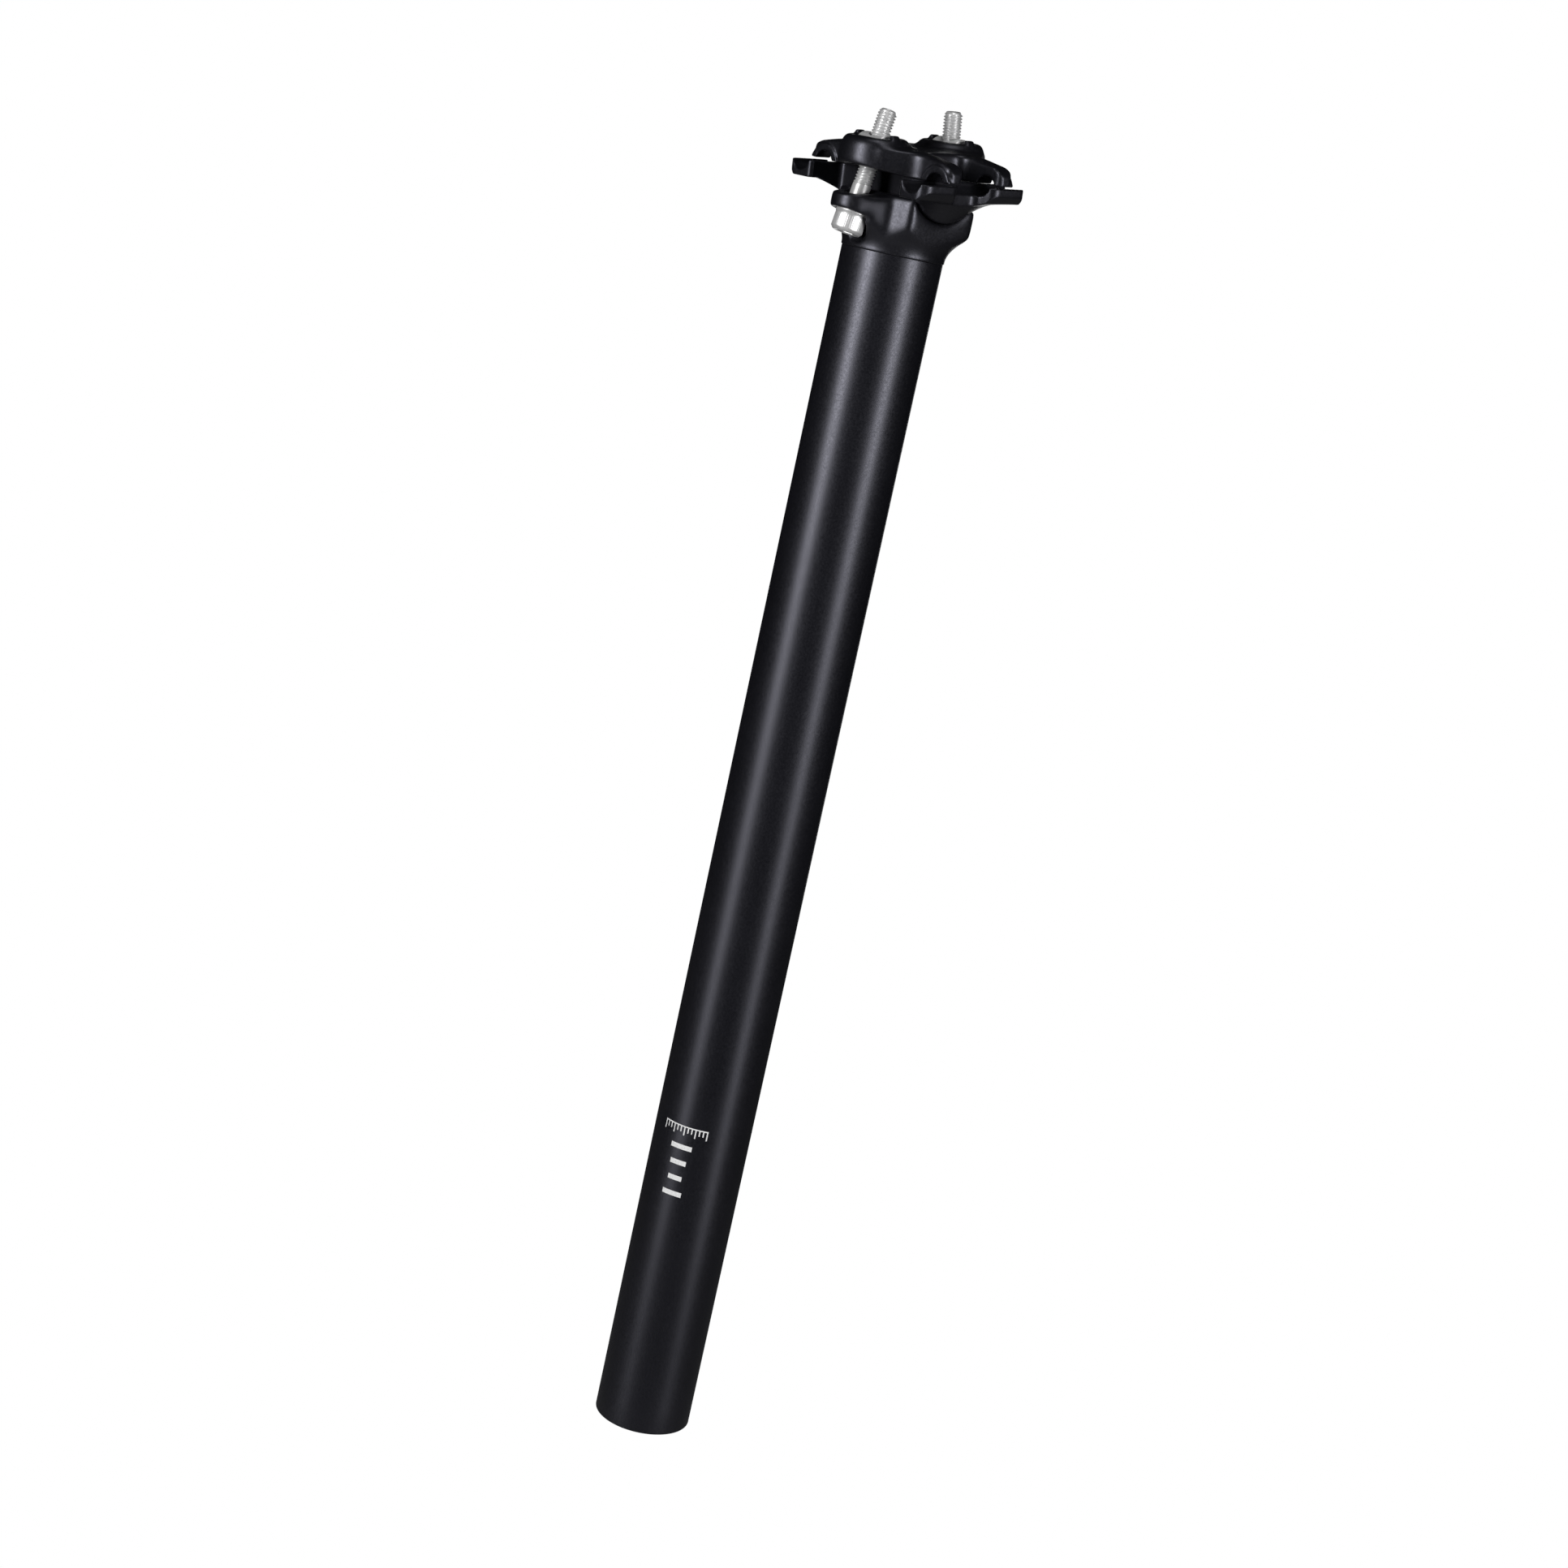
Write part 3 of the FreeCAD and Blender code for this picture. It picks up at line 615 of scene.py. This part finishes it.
def bar_mesh(name, bars, depth):
    """Thin raised rectangles (x0, x1, y0, y1), cut finely enough to bend."""
    mesh = bpy.data.meshes.new(name)
    work = bmesh.new()
    for x0, x1, y0, y1 in bars:
        count = max(1, int((x1 - x0) / (0.4 * MM)))
        lower, upper, lower_in, upper_in = [], [], [], []
        for i in range(count + 1):
            x = x0 + (x1 - x0) * i / count
            lower.append(work.verts.new((x, y0, depth)))
            upper.append(work.verts.new((x, y1, depth)))
            lower_in.append(work.verts.new((x, y0, -depth)))
            upper_in.append(work.verts.new((x, y1, -depth)))
        for i in range(count):
            work.faces.new((lower[i], lower[i + 1], upper[i + 1], upper[i]))
            work.faces.new((lower_in[i], upper_in[i], upper_in[i + 1], lower_in[i + 1]))
            work.faces.new((lower[i], lower_in[i], lower_in[i + 1], lower[i + 1]))
            work.faces.new((upper[i], upper[i + 1], upper_in[i + 1], upper_in[i]))
        work.faces.new((lower[0], upper[0], upper_in[0], lower_in[0]))
        work.faces.new((lower[-1], lower_in[-1], upper_in[-1], upper[-1]))
    bmesh.ops.recalc_face_normals(work, faces=work.faces)
    work.to_mesh(mesh)
    work.free()
    return mesh


def make_marks(radius):
    """A generic scale of plain ticks with four plain bars below it."""
    ticks = []
    for i in range(TICKS):
        x = (-SCALE_HALF + TICK_STEP * i) * MM
        tall = LONG_TICK if i % 3 == 0 else SHORT_TICK
        ticks.append((x - TICK_HALF, x + TICK_HALF, MARK_TOP - tall, MARK_TOP))
    ticks.append((-SCALE_LINE_HALF, SCALE_LINE_HALF, MARK_TOP, MARK_TOP + SCALE_LINE_TALL))
    wrapped("insertion_scale", bar_mesh("insertion_scale", ticks, INK_DEPTH), radius)
    bars = []
    for row, half in enumerate(BAR_HALVES):
        y = MARK_TOP - LONG_TICK - MARK_ROW * (row + 1)
        bars.append((-half * MM, half * MM, y + BAR_LOW, y + BAR_HIGH))
    wrapped("plain_bars", bar_mesh("plain_bars", bars, INK_DEPTH), radius)


# ---------------------------------------------------------------- stage

FLOOR_DROP = 0.45
FLOOR_HALF = 12.0
AMBIENT_TINT = (0.9, 0.95, 1.0, 1)
AMBIENT_STRENGTH = 0.004

# Lights: name, place, target, width and height in metres, and power in watts
SOFTBOXES = (
    ("left_softbox", (1.05, -0.03, 0.46), (0, 0, 0.34), 0.34, 0.6, 8.2),
    ("left_low_softbox", (1.05, -0.03, -0.08), (0, 0, 0.1), 0.34, 0.44, 1.5),
    ("right_softbox", (-0.14, 1.05, 0.46), (0, 0, 0.34), 0.32, 0.6, 6.4),
    ("right_low_softbox", (-0.14, 1.05, -0.08), (0, 0, 0.1), 0.32, 0.44, 1.3),
    ("top_softbox", (0.2, 0.2, 1.2), (0, 0, 0.35), 0.35, 0.35, 1.2),
    ("back_fill", (-0.85, -0.8, 0.2), (0, 0, 0.2), 0.5, 0.7, 1.4),
)


def aim(place, target):
    """Rotation that turns a light's -Z towards the target, +Y up."""
    return (Vector(target) - Vector(place)).to_track_quat("-Z", "Y")


def softbox(name, place, target, width, height, power):
    data = bpy.data.lights.new(name, "AREA")
    data.shape = "RECTANGLE"
    data.size = width
    data.size_y = height
    data.energy = power
    light = bpy.data.objects.new(name, data)
    light.location = place
    light.rotation_mode = "QUATERNION"
    light.rotation_quaternion = aim(place, target)
    bpy.context.scene.collection.objects.link(light)


def make_stage():
    mesh = bpy.data.meshes.new("floor")
    work = bmesh.new()
    bmesh.ops.create_grid(work, x_segments=24, y_segments=24, size=FLOOR_HALF)
    work.to_mesh(mesh)
    work.free()
    floor = link("floor", mesh)
    floor.location.z = -FLOOR_DROP
    mesh.materials.append(floor_material("pale_floor"))

    world = bpy.data.worlds.new("studio")
    world.use_nodes = True
    bpy.context.scene.world = world
    nodes = world.node_tree.nodes
    nodes.clear()
    output = nodes.new("ShaderNodeOutputWorld")
    seen = nodes.new("ShaderNodeBackground")
    seen.inputs["Color"].default_value = (1, 1, 1, 1)
    seen.inputs["Strength"].default_value = 1.0
    ambient = nodes.new("ShaderNodeBackground")
    ambient.inputs["Color"].default_value = AMBIENT_TINT
    ambient.inputs["Strength"].default_value = AMBIENT_STRENGTH
    path = nodes.new("ShaderNodeLightPath")
    mix = nodes.new("ShaderNodeMixShader")
    links = world.node_tree.links
    links.new(path.outputs["Is Camera Ray"], mix.inputs["Fac"])
    links.new(ambient.outputs["Background"], mix.inputs[1])
    links.new(seen.outputs["Background"], mix.inputs[2])
    links.new(mix.outputs["Shader"], output.inputs["Surface"])

    for name, place, target, width, height, power in SOFTBOXES:
        softbox(name, place, target, width, height, power)


def make_camera():
    data = bpy.data.cameras.new("camera")
    data.lens = CAMERA_LENS
    data.sensor_width = SENSOR_WIDTH
    data.clip_start = CLIP_NEAR
    data.clip_end = CLIP_FAR
    azimuth = math.radians(CAMERA_AZIMUTH)
    elevation = math.radians(CAMERA_ELEVATION)
    back = Vector((math.sin(azimuth) * math.cos(elevation),
                   -math.cos(azimuth) * math.cos(elevation),
                   math.sin(elevation)))
    right = Vector((0, 0, 1)).cross(back).normalized()
    up = back.cross(right)
    level = Matrix((right, up, back)).transposed().to_4x4()
    camera = bpy.data.objects.new("camera", data)
    roll = Matrix.Rotation(math.radians(CAMERA_ROLL), 4, "Z")
    camera.matrix_world = Matrix.Translation(CAMERA_PLACE) @ level @ roll
    bpy.context.scene.collection.objects.link(camera)
    bpy.context.scene.camera = camera
    bpy.context.scene.view_settings.view_transform = "Standard"


# ---------------------------------------------------------------- build

# Smoothing of each forging: passes, share and swell for relax, in order
HALF = even_share(0.5)
EDGES_ONLY = (24, HALF, 1.04)
HEAD_FLOW = ((16, head_share, 0.0), (150, root_share, 0.0), (4, head_share, 0.0))
CRADLE_FLOW = (EDGES_ONLY, (10, off_lips_share, 0.0))
JAW_FLOW = (EDGES_ONLY, (140, wing_share, 0.0), (9, off_lips_share, 0.0))
SMALL_FLOW = ((5, HALF, 0.0),)

tube_radius = make_tube()
forging("forged_head", "head", "post", HEAD_VOXEL, HEAD_FLOW, FORGED_BLACK)
forging("lower_cradle", "cradle", "cradle", JAW_VOXEL, CRADLE_FLOW, FORGED_BLACK)
forging("upper_clamp", "jaw", "jaw", JAW_VOXEL, JAW_FLOW, FORGED_BLACK)
for side in ("front", "rear"):
    make_bolt(f"{side}_screw", f"{side}_bolt", f"{side}_bolt_turn", f"{side}_screw")
    forging(f"{side}_barrel_nut", f"{side}_nut", f"{side}_nut", SMALL_VOXEL,
            SMALL_FLOW, NUT_STEEL)
    forging(f"{side}_swivel_washer", f"{side}_washer", f"{side}_washer", SMALL_VOXEL,
            SMALL_FLOW, NUT_STEEL)
make_marks(tube_radius)
make_stage()
make_camera()
